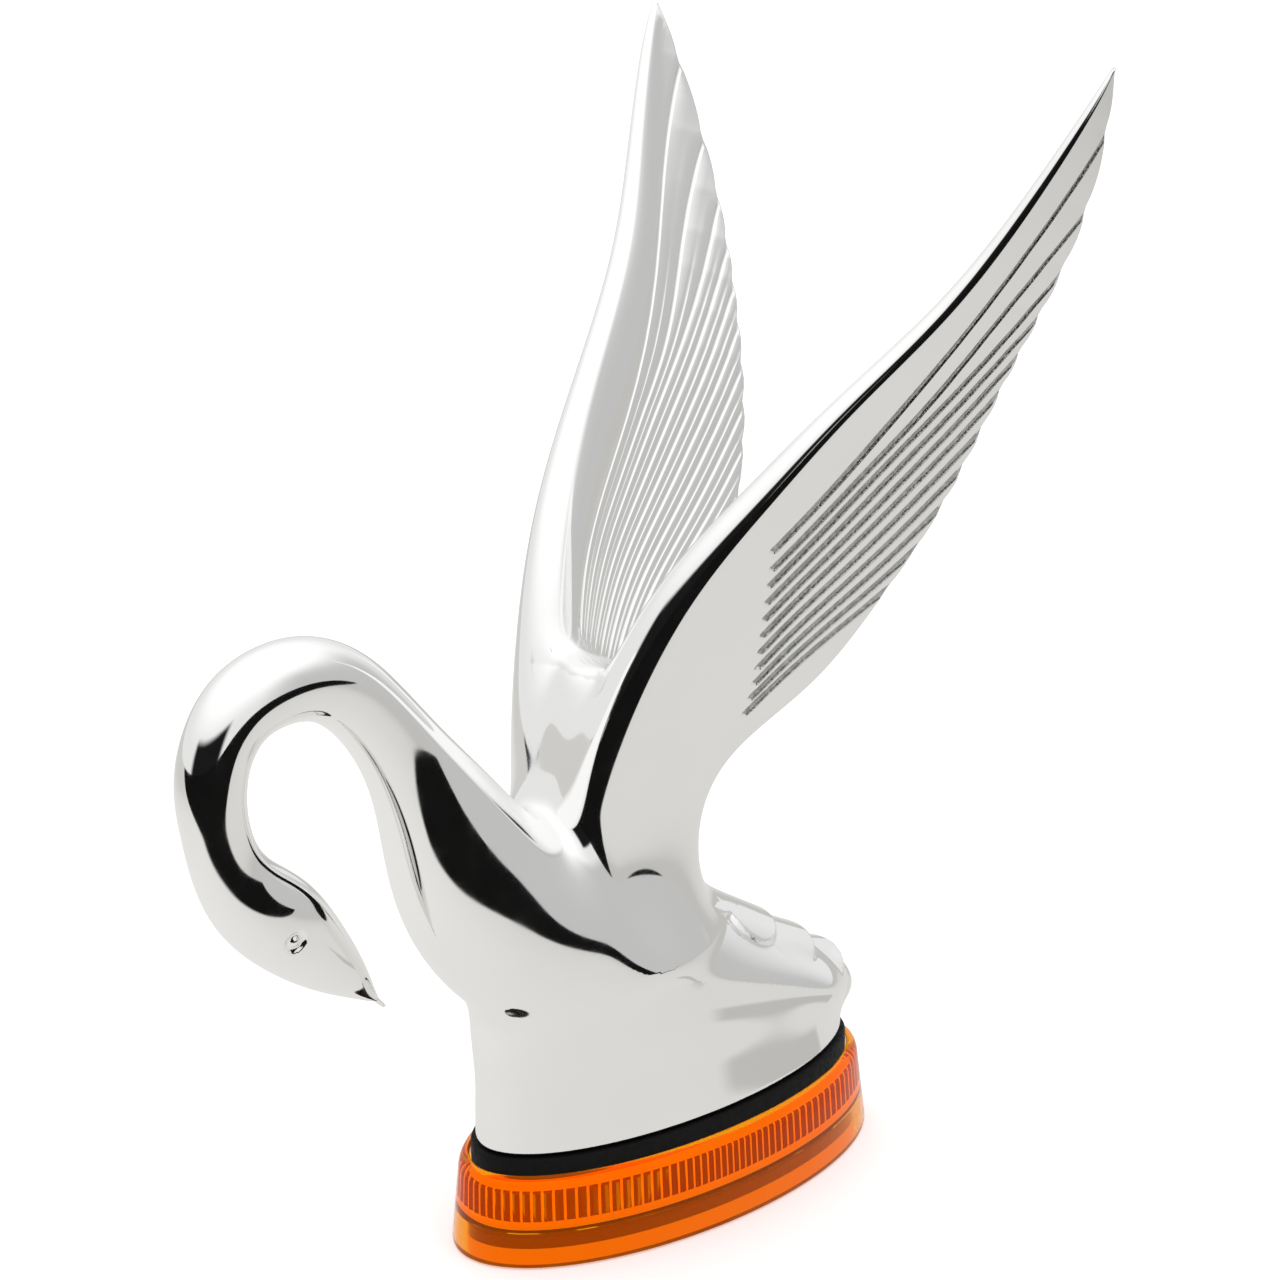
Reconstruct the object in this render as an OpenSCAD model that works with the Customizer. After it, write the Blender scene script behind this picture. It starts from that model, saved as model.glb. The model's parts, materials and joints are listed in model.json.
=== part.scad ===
// Swan hood ornament: a chrome-plated die casting on a lit amber lens base.
// +X is the way the swan faces, +Y its left side, +Z up.
// The origin is midway between the two hood posts, on the plane of the hood.

/* [Base] */
// Half length of the casting's oval pedestal
pedestal_a = 42.5; // [41:0.5:45]
// Half width of the casting's oval pedestal
pedestal_b = 17.6; // [17:0.2:19]
// Height of the pedestal's lower edge above the hood
pedestal_z = 19.8; // [19.8:0.1:22]
// How far the lens stands out past the pedestal at the hood
lens_flare = 5.1; // [4.8:0.1:7]
// How far the lens stands out past the pedestal under its rim
lens_shoulder = 3.5; // [3.3:0.1:4.4]
// Number of flutes round the inside of the lens
flute_count = 112; // [60:4:120]
// Depth of one flute
flute_depth = 0.7; // [0.4:0.1:0.9]

/* [Swan] */
// Height of the swan from the pedestal's lower edge to the wing tips
figure_h = 189.7; // [185:0.1:200]

/* [Hood posts] */
// Distance between the two hood posts
post_spacing = 44.4; // [42:0.1:46]
// Outside radius of a hood post
post_r = 5.2; // [4.8:0.1:5.4]
// Radius of the hole tapped in each post for a quarter-inch hood screw
post_hole_r = 2.55; // [2.4:0.05:3.2]
// Depth of that hole
post_hole_depth = 20; // [12:1:24]

/* [Lamp] */
// Turn that frees the twist-lock lamp holder
lamp_turn = 60; // [50:5:70]
// Radius of the holder's barrel
barrel_r = 7.93; // [7.5:0.01:7.95]
// Radius of the bulb's glass
bulb_r = 4.8; // [4:0.1:5]

/* [Hidden] */

chrome = [0.86, 0.87, 0.88];
amber = [1.0, 0.42, 0.02];
black_rubber = [0.06, 0.06, 0.06];
dark_nylon = [0.16, 0.16, 0.17];
steel = [0.7, 0.71, 0.72];
brass = [0.8, 0.62, 0.25];
clear_glass = [0.85, 0.92, 0.95];

oval_points = 96;        // points round an oval outline
gap = 0.05;              // clearance between pieces that don't touch
cut = 1;                 // how far a cutter runs past the face it opens

// Levels above the hood
plate_z = 3.0;           // underside of the base plate
plate_t = 2.2;           // its thickness
seal_t = 0.8;            // thickness of the seal on it
ledge_z = plate_z + plate_t + seal_t;
flute_z = 7.6;           // bottom of the flutes
flange_z = 13.6;         // underside of the lens's top flange
pocket_z = 15.6;         // floor of the gasket's pocket
rim_z = 16.7;            // edge of the pocket
crest_z = 17.1;          // crest of the rim
shoulder_z = 14.6;       // where the outer wall turns into the rim

// Offsets from the pedestal's oval
wall_in = 1.0;           // inner wall above the ledge
recess_in = 2.4;         // inner wall below the ledge
pocket_out = 1.25;       // pocket edge
gasket_out = 0.95;       // gasket edge
opening_in = -4.3;       // opening in the lens's top flange

// Hollow of the casting
hollow_in = -3.2;        // its offset from the pedestal's oval
hollow_z = 31;           // its roof over the whole oval
dome_z = 43;             // its roof over the bulb
boss_x = 33;             // the two bosses for the plate screws
boss_r = 3;
boss_hole_r = 1.25;
boss_hole_depth = 9;

// Lamp levels
holder_bottom = 0.3;
flange_bottom = 1.2;
flange_top = 2.3;
lug_z = plate_z + plate_t + gap;
lug_t = 1.5;
socket_z = 13;
socket_r = 6.4;
wedge_z = 5.4;           // bottom of the bulb's wedge base
bulb_top = 30.5;

// ---------- outlines and lofts ----------

// An oval offset outwards from the pedestal's own
function oval(out, n = oval_points) =
    [for (i = [0:n - 1]) let (t = 360 * i / n)
        [(pedestal_a + out) * cos(t), (pedestal_b + out) * sin(t)]];

// Angle that spaces points nearly evenly along such an oval's edge
function even_angle(u) = u + 11.5 * sin(2 * u);

// The same oval with a V-shaped flute every other point
function fluted_oval(out, depth, count) =
    [for (i = [0:2 * count - 1]) let (t = even_angle(180 * i / count), o = out + (i % 2) * depth)
        [(pedestal_a + o) * cos(t), (pedestal_b + o) * sin(t)]];

// The plain oval through the feet of the flutes
function flute_foot(out, count) =
    [for (i = [0:count - 1]) let (t = even_angle(360 * i / count))
        [(pedestal_a + out) * cos(t), (pedestal_b + out) * sin(t)]];

// A smooth curve through a list of vectors, at parameter t from 0 to 1
function spline(p, t) =
    let (n = len(p) - 1, u = min(t * n, n - 0.0001), i = floor(u), f = u - i,
         b = p[i], c = p[i + 1],
         a = i > 0 ? p[i - 1] : 2 * b - c,
         d = i < n - 1 ? p[i + 2] : 2 * c - b)
    0.5 * (2 * b + (c - a) * f + (2 * a - 5 * b + 4 * c - d) * f * f
           + (3 * b - a - 3 * c + d) * f * f * f);

// Closed skin over a list of rings that have the same number of points
module skin(rings) {
    n = len(rings[0]);
    m = len(rings);
    points = [for (r = rings) each r];
    sides = [for (i = [0:m - 2], j = [0:n - 1]) let (k = (j + 1) % n)
        each [[i * n + j, i * n + k, (i + 1) * n + j],
              [i * n + k, (i + 1) * n + k, (i + 1) * n + j]]];
    bottom = [[for (j = [n - 1:-1:0]) j]];
    top = [[for (j = [0:n - 1]) (m - 1) * n + j]];
    polyhedron(points, concat(sides, bottom, top));
}

// Ring across a curve in the XZ plane; s is [x, z, half depth, half width]
function cross_ring(s, dx, dz, n) =
    let (l = norm([dx, dz]), nx = -dz / l, nz = dx / l)
    [for (j = [0:n - 1]) let (t = 360 * j / n)
        [s[0] + nx * s[2] * cos(t), s[3] * sin(t), s[1] + nz * s[2] * cos(t)]];

// Sweep of elliptical sections along such a curve
module sweep_xz(stations, rings, n) {
    skin([for (i = [0:rings])
        let (t = i / rings, e = 0.004, s = spline(stations, t),
             q = spline(stations, min(t + e, 1)), p = spline(stations, max(t - e, 0)))
        cross_ring(s, q[0] - p[0], q[1] - p[1], n)]);
}

// Level oval ring; s is [z, centre x, half length, half width]
function level_ring(s, n) =
    [for (j = [0:n - 1]) let (t = 360 * j / n)
        [s[1] + s[2] * cos(t), -s[3] * sin(t), s[0]]];

module stack(stations, rings, n) {
    skin([for (i = [0:rings]) level_ring(spline(stations, i / rings), n)]);
}

// ---------- the swan, with z measured from the pedestal's lower edge ----------

// Neck and head from the beak's tip: x, z, half depth, half width
neck_line = [
    [64.5, 37, 0.5, 0.5], [70.5, 43.5, 4.0, 3.6], [78, 51.5, 7.0, 6.2], [83.5, 57.5, 8.0, 7.4],
    [88.7, 63, 7.4, 7.0], [92.5, 69.5, 6.2, 6.0], [94.5, 77.5, 5.7, 5.7], [94.8, 83.5, 5.9, 5.9],
    [93, 90.5, 6.1, 6.1], [88.5, 96, 6.5, 6.5], [82, 98.4, 6.9, 6.9], [75, 98, 7.0, 7.0],
    [69.5, 95.4, 6.9, 6.9], [62.5, 88.5, 6.9, 6.9], [56, 79, 8.0, 7.8], [50.5, 69, 10.6, 10.2],
    [45, 59, 13.4, 13.2], [38, 49, 13.5, 14]];

// Breast and back down to the tail
body_line = [
    [48, 65, 7, 7], [45, 57.5, 13.0, 12.6], [40.5, 49.5, 15.4, 15.2], [31, 40, 17.6, 18.2],
    [16, 32.5, 17.4, 19.4], [-2, 25.5, 14.2, 19.0], [-18, 19.5, 9.4, 17.6], [-32, 13.6, 5.6, 13.8],
    [-40.5, 10.5, 3.2, 7.5]];

// Pedestal: z, centre x, half length, half width
pedestal_line = [
    [0, 0, pedestal_a - 0.6, pedestal_b - 0.6], [0.7, 0, pedestal_a, pedestal_b],
    [6, 0, pedestal_a - 0.2, pedestal_b - 0.2], [12, 0.2, pedestal_a - 0.6, pedestal_b],
    [17, 4, pedestal_a - 4, pedestal_b + 0.2], [22, 9.5, pedestal_a - 10, pedestal_b - 0.5],
    [27, 13, pedestal_a - 20, pedestal_b - 4]];

// Root between the wings
root_line = [
    [34, 13, 19, 18.5], [46, 12.5, 17.5, 14], [58, 12, 15.5, 11], [70, 11.5, 13, 11.5],
    [79, 13, 9.5, 11.5], [86, 15.5, 4.5, 6.5]];

// Leading and trailing edge of the left wing
wing_lead = [
    [27, 4, 50], [26.4, 5.5, 62], [23, 10, 80], [14, 17.4, 102], [0.8, 25.6, 119.5], [-13.2, 33, 134.5],
    [-27.6, 41.8, 150], [-38.5, 50.1, 167], [-46.8, 56, 182], [-51.4, 58, 189.4]];
wing_trail = [
    [-2, 2, 42], [-3.6, 5, 53], [-9.5, 9.2, 66], [-24, 14.6, 77], [-35.5, 20.6, 92], [-45.5, 27, 110],
    [-52, 36, 134], [-55.6, 46.4, 157], [-54.6, 54, 177], [-51.8, 57.8, 189.2]];
// Half thickness of the wing at the same stations
wing_half_t = [8, 7.4, 6.0, 4.6, 3.3, 2.4, 1.9, 1.4, 1.0, 0.3];

// Section of the left wing at station t
function wing_ring(t, n) =
    let (a = spline(wing_lead, t), b = spline(wing_trail, t), h = spline(wing_half_t, t),
         e = 0.01, up = spline(wing_lead, min(t + e, 1)) - spline(wing_lead, max(t - e, 0)),
         side = cross(b - a, up), out = side / norm(side))
    [for (j = [0:n - 1]) let (w = -360 * j / n, c = (1 - cos(w)) / 2)
        a + (b - a) * c + out * h * sign(sin(w)) * pow(abs(sin(w)), 0.8) * (1 - 0.6 * c)];

module left_wing() {
    skin([for (i = [0:25]) wing_ring(i / 25, 18)]);
}

// One tail feather: a flat rounded blade, low at its rear end
module tail_feather(x, z, a, b, drop) {
    translate([x, 0, z])
        rotate([0, -drop, 0])
            stack([[-8, 3, a * 0.7, b * 0.9], [-2, 0, a * 0.95, b], [0.6, 0, a * 0.98, b * 0.98],
                   [1.8, 0, a * 0.8, b * 0.8]], 6, 28);
}

module swan_figure() {
    stack(pedestal_line, 10, 60);
    sweep_xz(body_line, 28, 34);
    sweep_xz(neck_line, 50, 20);
    stack(root_line, 12, 30);
    left_wing();
    mirror([0, 1, 0]) left_wing();
    tail_feather(-6.5, 38.5, 10, 9, 36);
    tail_feather(-15.5, 33, 10, 12, 32);
    tail_feather(-25, 26.5, 10, 13, 28);
    tail_feather(-33.5, 19.5, 9.6, 11.5, 22);
}

module at_posts() {
    for (x = [-1, 1] * post_spacing / 2)
        translate([x, 0, 0]) children();
}

module at_bosses() {
    for (x = [-boss_x, boss_x])
        translate([x, 0, 0]) children();
}

// ---------- pieces ----------

module swan_casting() {
    boss_z = plate_z + plate_t;
    color(chrome)
    difference() {
        union() {
            difference() {
                translate([0, 0, pedestal_z])
                    resize([0, 0, figure_h])
                        swan_figure();
                translate([0, 0, pedestal_z - cut])
                    linear_extrude(hollow_z - pedestal_z + cut)
                        polygon(oval(hollow_in));
                translate([0, 0, pedestal_z - cut])
                    linear_extrude(dome_z - pedestal_z + cut)
                        polygon([for (p = oval(hollow_in)) [p[0] * 0.36, p[1] * 0.75]]);
            }
            at_posts() cylinder(r = post_r, h = hollow_z + cut, $fn = 48);
            at_bosses()
                translate([0, 0, boss_z])
                    cylinder(r = boss_r, h = hollow_z + cut - boss_z, $fn = 40);
        }
        at_posts()
            translate([0, 0, -cut])
                cylinder(r = post_hole_r, h = post_hole_depth + cut, $fn = 48);
        at_bosses()
            translate([0, 0, boss_z - cut])
                cylinder(r = boss_hole_r, h = boss_hole_depth + cut, $fn = 32);
    }
}

module body_gasket() {
    color(black_rubber)
    translate([0, 0, pocket_z])
        linear_extrude(pedestal_z - pocket_z)
            difference() {
                polygon(oval(gasket_out));
                polygon(oval(opening_in + 0.3));
            }
}

module lens() {
    outer = [[0, lens_flare - 0.5], [0.5, lens_flare], [shoulder_z, lens_shoulder],
             [shoulder_z + 1.2, lens_shoulder - 0.4], [crest_z - 0.4, lens_shoulder - 1.0],
             [crest_z, lens_shoulder - 1.6], [rim_z, pocket_out]];
    color(amber)
    difference() {
        skin([for (s = outer) [for (p = oval(s[1])) [p[0], -p[1], s[0]]]]);
        translate([0, 0, pocket_z]) linear_extrude(crest_z) polygon(oval(pocket_out));
        translate([0, 0, flange_z - cut]) linear_extrude(crest_z) polygon(oval(opening_in));
        translate([0, 0, flute_z])
            linear_extrude(flange_z - flute_z)
                polygon(fluted_oval(wall_in - flute_depth, flute_depth, flute_count));
        translate([0, 0, ledge_z - cut])
            linear_extrude(flute_z - ledge_z + 2 * cut)
                polygon(flute_foot(wall_in - flute_depth, flute_count));
        translate([0, 0, -cut]) linear_extrude(ledge_z + cut) polygon(oval(recess_in));
    }
}

module base_plate() {
    keyway_r = barrel_r + 3;
    keyway_w = 5.6;
    stop_r = barrel_r + 1.6;
    color(dark_nylon) {
        difference() {
            translate([0, 0, plate_z]) linear_extrude(plate_t) polygon(oval(recess_in - 0.2));
            translate([0, 0, plate_z - cut]) {
                cylinder(r = barrel_r + 0.07, h = plate_t + 2 * cut, $fn = 96);
                rotate([0, 0, lamp_turn])
                    translate([-keyway_r, -keyway_w / 2, 0])
                        cube([2 * keyway_r, keyway_w, plate_t + 2 * cut]);
                at_posts() cylinder(r = post_r + 0.3, h = plate_t + 2 * cut, $fn = 64);
                at_bosses() cylinder(r = 1.7, h = plate_t + 2 * cut, $fn = 40);
            }
        }
        // Stops that end the holder's turn
        for (a = [-26, 86, 154, 266])
            rotate([0, 0, a])
                translate([stop_r - 0.5, -0.8, plate_z + plate_t - gap])
                    cube([1.6, 1.6, 1.2 + gap]);
    }
}

module plate_seal() {
    color(black_rubber)
    translate([0, 0, plate_z + plate_t])
        linear_extrude(seal_t)
            difference() {
                polygon(oval(recess_in - 0.5));
                polygon(oval(wall_in - flute_depth - 0.2));
            }
}

module plate_screws() {
    head_r = 2.6;
    head_h = 1.6;
    washer_t = 0.5;
    shank_top = plate_z + plate_t + boss_hole_depth - 1;
    color(steel)
    at_bosses()
        translate([0, 0, plate_z - washer_t - head_h])
            difference() {
                union() {
                    rotate_extrude($fn = 40)
                        polygon([[0, 0], [head_r - 0.7, 0], [head_r - 0.2, 0.4],
                                 [head_r, 1.0], [head_r, head_h], [0, head_h]]);
                    cylinder(r = boss_hole_r, h = shank_top - plate_z + washer_t + head_h, $fn = 32);
                }
                for (a = [0, 90])
                    rotate([0, 0, a])
                        translate([-1.6, -0.25, -cut]) cube([3.2, 0.5, cut + 0.8]);
            }
}

module screw_washers() {
    color(steel)
    at_bosses()
        translate([0, 0, plate_z - 0.5])
            difference() {
                cylinder(r = 3.0, h = 0.5, $fn = 40);
                translate([0, 0, -cut]) cylinder(r = 1.6, h = 3, $fn = 32);
            }
}

module lamp_holder() {
    grip_w = 2.6;
    grip_l = 17;
    slot_w = 2.9;
    slot_l = 10.2;
    color(dark_nylon)
    difference() {
        union() {
            translate([0, 0, flange_bottom]) cylinder(r = 9.6, h = flange_top - flange_bottom, $fn = 96);
            translate([0, 0, flange_top]) cylinder(r = barrel_r, h = lug_z + lug_t - flange_top, $fn = 96);
            translate([0, 0, lug_z]) cylinder(r = socket_r, h = socket_z - lug_z, $fn = 64);
            translate([0, 0, lug_z])
                intersection() {
                    cylinder(r = barrel_r + 2.6, h = lug_t, $fn = 96);
                    translate([-15, -2.4, 0]) cube([30, 4.8, lug_t]);
                }
            difference() {
                translate([-grip_l / 2, -grip_w / 2, holder_bottom])
                    cube([grip_l, grip_w, flange_bottom - holder_bottom + 0.1]);
                translate([0, 0, -cut]) cylinder(r = 3.4, h = 6, $fn = 48);
            }
        }
        translate([-slot_l / 2, -slot_w / 2, wedge_z - 0.2]) cube([slot_l, slot_w, socket_z]);
        translate([0, 0, -cut]) cylinder(r = 2.4, h = 4.4 + cut, $fn = 48);
    }
}

module holder_seal() {
    color(black_rubber)
    translate([0, 0, flange_top])
        difference() {
            cylinder(r = 9.4, h = plate_z - flange_top - gap, $fn = 72);
            translate([0, 0, -cut]) cylinder(r = barrel_r + 0.02, h = 4, $fn = 96);
        }
}

module holder_contacts() {
    color(brass)
    for (s = [-1, 1])
        translate([s * 3.1 - 1.1, s > 0 ? 1.05 : -1.45, wedge_z - 0.1])
            cube([2.2, 0.4, socket_z - wedge_z]);
}

module wire_bushing() {
    color(black_rubber)
    difference() {
        translate([0, 0, holder_bottom]) cylinder(r = 2.4, h = 3.4 - holder_bottom, $fn = 48);
        for (y = [-1.05, 1.05])
            translate([0, y, -cut]) cylinder(r = 0.7, h = 6, $fn = 24);
    }
}

module bulb_glass() {
    neck_z = socket_z + 1.2;
    wall = 0.5;
    color(clear_glass)
    difference() {
        union() {
            rotate_extrude($fn = 64)
                polygon(concat([[0, socket_z], [3.6, socket_z], [bulb_r, neck_z + 1.5]],
                    [for (t = [0:10:90]) [bulb_r * cos(t), bulb_top - bulb_r + bulb_r * sin(t)]]));
            translate([-4.6, -1.0, wedge_z]) cube([9.2, 2.0, socket_z - wedge_z + 0.4]);
        }
        rotate_extrude($fn = 64)
            polygon(concat([[0, neck_z + 1.8], [bulb_r - wall - 0.8, neck_z + 1.8],
                            [bulb_r - wall, neck_z + 3]],
                [for (t = [0:10:90]) [(bulb_r - wall) * cos(t),
                                      bulb_top - bulb_r + (bulb_r - wall) * sin(t)]]));
    }
}

module bulb_filament() {
    post_bottom = socket_z + 3.05;
    coil_z = 22;
    color(steel) {
        for (x = [-2.2, 2.2])
            translate([x, 0, post_bottom]) cylinder(r = 0.25, h = coil_z - post_bottom + 0.2, $fn = 16);
        translate([-2.2, 0, coil_z]) rotate([0, 90, 0]) cylinder(r = 0.3, h = 4.4, $fn = 16);
    }
}

module bulb_leads() {
    color(steel)
    for (s = [-1, 1])
        translate([s * 3.1, s * 1.03, wedge_z + 1.2])
            translate([-0.15, -0.025, 0]) cube([0.3, 0.05, 4]);
}

swan_casting();
body_gasket();
lens();
base_plate();
plate_seal();
plate_screws();
screw_washers();
lamp_holder();
holder_seal();
holder_contacts();
wire_bushing();
bulb_glass();
bulb_filament();
bulb_leads();
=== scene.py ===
"""Swan hood ornament: chrome casting on an amber lens with a painted glow. Metres, +X the way the swan faces,
+Z up.
"""
import bpy
import json
import math
import numpy as np
from mathutils import Matrix, Vector


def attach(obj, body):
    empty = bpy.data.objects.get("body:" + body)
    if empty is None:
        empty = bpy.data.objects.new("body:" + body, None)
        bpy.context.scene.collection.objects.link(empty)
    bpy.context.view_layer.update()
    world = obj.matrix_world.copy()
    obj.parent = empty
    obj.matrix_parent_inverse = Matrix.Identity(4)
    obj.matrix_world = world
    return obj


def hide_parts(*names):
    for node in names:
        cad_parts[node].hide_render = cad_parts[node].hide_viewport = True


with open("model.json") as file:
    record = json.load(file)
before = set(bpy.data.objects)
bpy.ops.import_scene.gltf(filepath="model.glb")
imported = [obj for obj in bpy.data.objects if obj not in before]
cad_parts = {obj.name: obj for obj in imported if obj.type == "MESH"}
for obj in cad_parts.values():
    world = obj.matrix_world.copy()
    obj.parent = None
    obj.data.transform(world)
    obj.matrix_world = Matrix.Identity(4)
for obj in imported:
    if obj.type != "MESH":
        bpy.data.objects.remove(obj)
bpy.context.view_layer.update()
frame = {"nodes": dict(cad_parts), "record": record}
nodes = frame["nodes"]
MM = 0.001
OVAL_A, OVAL_B = 42.5, 17.6  # half length and half width of the pedestal's oval, in mm


# ---------------------------------------------------------------- curves
def natural(t, y, m=1500):
    """Dense samples of the natural cubic spline through the stations (t, y)."""
    t = np.asarray(t, float)
    y = np.asarray(y, float).reshape(len(t), -1)
    n, h = len(t), np.diff(t)
    A, b = np.eye(n), np.zeros_like(y)
    for i in range(1, n - 1):
        A[i, i - 1:i + 2] = h[i - 1], 2 * (h[i - 1] + h[i]), h[i]
        b[i] = 6 * ((y[i + 1] - y[i]) / h[i] - (y[i] - y[i - 1]) / h[i - 1])
    k = np.linalg.solve(A, b)
    s = np.linspace(t[0], t[-1], m)
    i = np.clip(np.searchsorted(t, s, side="right") - 1, 0, n - 2)
    u, v, g = (s - t[i])[:, None], (t[i + 1] - s)[:, None], h[i][:, None]
    return s, ((k[i] * v ** 3 + k[i + 1] * u ** 3) / (6 * g)
               + (y[i] / g - k[i] * g / 6) * v + (y[i + 1] / g - k[i + 1] * g / 6) * u)


def look(tab, u):
    """Linear look-up in rows of a table at fractional row u."""
    u = np.clip(u, 0, len(tab) - 1.0001)
    i = u.astype(int)
    f = (u - i)[..., None]
    return tab[i] * (1 - f) + tab[i + 1] * f


class Sweep:
    """Distance to sections swept along a curve in the XZ plane. The last number of a station
    narrows the upper half of an ellipse into an egg."""
    def __init__(self, stations, cap):
        p = np.array([list(s) + [0.0] * (5 - len(s)) for s in stations], float)
        t = np.concatenate([[0], np.cumsum(np.hypot(*np.diff(p[:, :2], axis=0).T))])
        _, q = natural(t, p)
        arc = np.concatenate([[0], np.cumsum(np.hypot(*np.diff(q[:, :2], axis=0).T))])
        u = np.linspace(0, arc[-1], len(arc))
        q = np.stack([np.interp(u, arc, q[:, j]) for j in range(5)], 1)
        d = np.gradient(q[:, :2], u, axis=0)
        d /= np.linalg.norm(d, axis=1)[:, None]
        ang = np.unwrap(np.arctan2(d[:, 1], d[:, 0]))
        kap = np.gradient(ang, u)
        kap = np.convolve(np.pad(kap, 20, mode="edge"), np.ones(41) / 41, "valid")
        self.tab = np.column_stack([q, d, kap])
        self.step, self.cap, self.n = u[1], cap, len(u)
        gx, gz = np.arange(-62, 112.0), np.arange(10, 216.0)
        X, Z = np.meshgrid(gx, gz, indexing="ij")
        c = q[::6, :2]
        best = (np.hypot(X[..., None] - c[:, 0], Z[..., None] - c[:, 1]) - q[::6, 2]).argmin(-1)
        self.near = best * 6.0

    def __call__(self, x, y, z):
        i = np.clip(np.rint(x + 62).astype(int), 0, self.near.shape[0] - 1)
        j = np.clip(np.rint(z - 10).astype(int), 0, self.near.shape[1] - 1)
        u = self.near[i, j]
        for k in range(3):
            q = look(self.tab, u)
            dx, dz = x - q[..., 0], z - q[..., 1]
            a = dx * q[..., 5] + dz * q[..., 6]
            n = -dx * q[..., 6] + dz * q[..., 5]
            if k < 2:
                u = np.clip(u + a / np.maximum(0.35, 1 - q[..., 7] * n) / self.step, 0, self.n - 1.001)
        hd, hw = q[..., 2], q[..., 3]
        rise = np.clip(-n / hd, 0, 1.3)
        y = y * (1 + q[..., 4] * rise ** 1.6)
        cap = self.cap
        k0 = np.sqrt((n / hd) ** 2 + (y / hw) ** 2 + (a / cap) ** 2)
        k1 = np.sqrt((n / hd ** 2) ** 2 + (y / hw ** 2) ** 2 + (a / cap ** 2) ** 2)
        return k0 * (k0 - 1) / np.maximum(k1, 1e-6)


class Column:
    """Distance to level ovals stacked up Z; stations are z, centre x, half length, half width."""
    def __init__(self, stations):
        p = np.array(stations, float)
        self.z0, self.z1 = p[0, 0], p[-1, 0]
        _, self.tab = natural(p[:, 0], p[:, 1:])

    def __call__(self, x, y, z):
        q = look(self.tab, (z - self.z0) / (self.z1 - self.z0) * (len(self.tab) - 1))
        dx, a, b = x - q[..., 0], q[..., 1], q[..., 2]
        k0 = np.sqrt((dx / a) ** 2 + (y / b) ** 2)
        k1 = np.sqrt((dx / a ** 2) ** 2 + (y / b ** 2) ** 2)
        return k0 * (k0 - 1) / np.maximum(k1, 1e-6)


def smin(a, b, k):
    h = np.maximum(k - np.abs(a - b), 0) / k
    return np.minimum(a, b) - h ** 3 * k / 6


def smax(a, b, k):
    return -smin(-a, -b, k)


def ramp(x, a, b):
    t = np.clip((x - a) / (b - a), 0, 1)
    return t * t * (3 - 2 * t)


# ---------------------------------------------------------------- the swan, millimetres
Z0 = 19.8
NECK = [(64.5, 56.8, 0.5, 0.5), (70.5, 63.3, 4.0, 3.6), (78, 71.3, 7.0, 6.2), (83.5, 77.3, 8.0, 7.4),
        (88.7, 82.8, 7.4, 7.0), (92.5, 89.3, 6.2, 6.0), (94.5, 97.3, 5.7, 5.7), (94.8, 103.3, 5.9, 5.9),
        (93, 110.3, 6.1, 6.1), (88.5, 115.8, 6.5, 6.5), (82, 118.2, 6.9, 6.9), (75, 117.8, 7, 7),
        (69.5, 115.2, 6.9, 6.9), (62.5, 108.3, 6.9, 6.9), (56, 98.8, 8.0, 7.8), (50.5, 88.8, 10.6, 10.2),
        (45.6, 78.8, 13.4, 12.9)]
BODY = [(39.8, 69.0, 15.6, 15.4, 0), (30.5, 60.0, 17.4, 18.0, 0.15),
        (16, 52.3, 17.2, 19.2, 0.6), (-2, 45.3, 14.0, 19, 0.9), (-18, 39.0, 9.4, 17.6, 0.7),
        (-31, 33.2, 5.6, 14.5, 0.3), (-38, 30.3, 3.2, 8.5, 0)]
PEDESTAL = [(19.8, 0, 42.5, 17.6), (26, 0, 42.3, 17.5), (32, 0.2, 41.9, 17.6), (37, 4, 38.2, 17.8),
            (42, 10, 31.6, 17.2), (47, 15, 24, 14.5), (52, 17, 17, 10)]
ROOT = [(53.8, 13, 19, 18.5), (65.8, 12.5, 17.5, 14), (77.8, 12, 15.5, 11), (89.8, 11.5, 13, 10.5),
        (98.8, 13, 9.5, 9.5), (105.0, 15, 5, 6)]
LEAD = [(27, 4, 69.8), (26.4, 5.5, 81.8), (23, 10, 99.8), (14, 17.4, 121.8), (0.8, 25.6, 139.3),
        (-13.2, 33, 154.3), (-27.6, 41.8, 169.8), (-38.5, 50.1, 186.8), (-46.8, 56, 201.8),
        (-51.4, 58, 209.2)]
TRAIL = [(-2, 2, 61.8), (-3.6, 5, 72.8), (-9.5, 9.2, 85.8), (-24, 14.6, 96.8), (-35.5, 20.6, 111.8),
         (-45.5, 27, 129.8), (-52, 36, 153.8), (-55.6, 46.4, 176.8), (-54.6, 54, 196.8), (-51.8, 57.8, 209)]
NOSE = [8, 7.4, 6.0, 4.6, 3.4, 2.6, 2.1, 1.6, 1.1, 0.45]
PLATES = [(-6.5, 57.6, 10, 10, 36), (-15.5, 51.6, 10, 12.5, 32), (-24.5, 44.9, 10, 13.5, 28),
          (-32.6, 37.8, 9.2, 12.5, 20)]

# The wing's own axes: along it to the tip, across it to the trailing edge, and out of its face
E1 = np.array([-0.409, 0.348, 0.848])
E1 /= np.linalg.norm(E1)
E3 = np.array([0.10, 0.937, -0.336])
E3 -= E3 @ E1 * E1
E3 /= np.linalg.norm(E3)
E2 = np.cross(E1, E3)


def local(p):
    return p @ np.stack([E1, E2, E3], 1)


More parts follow.
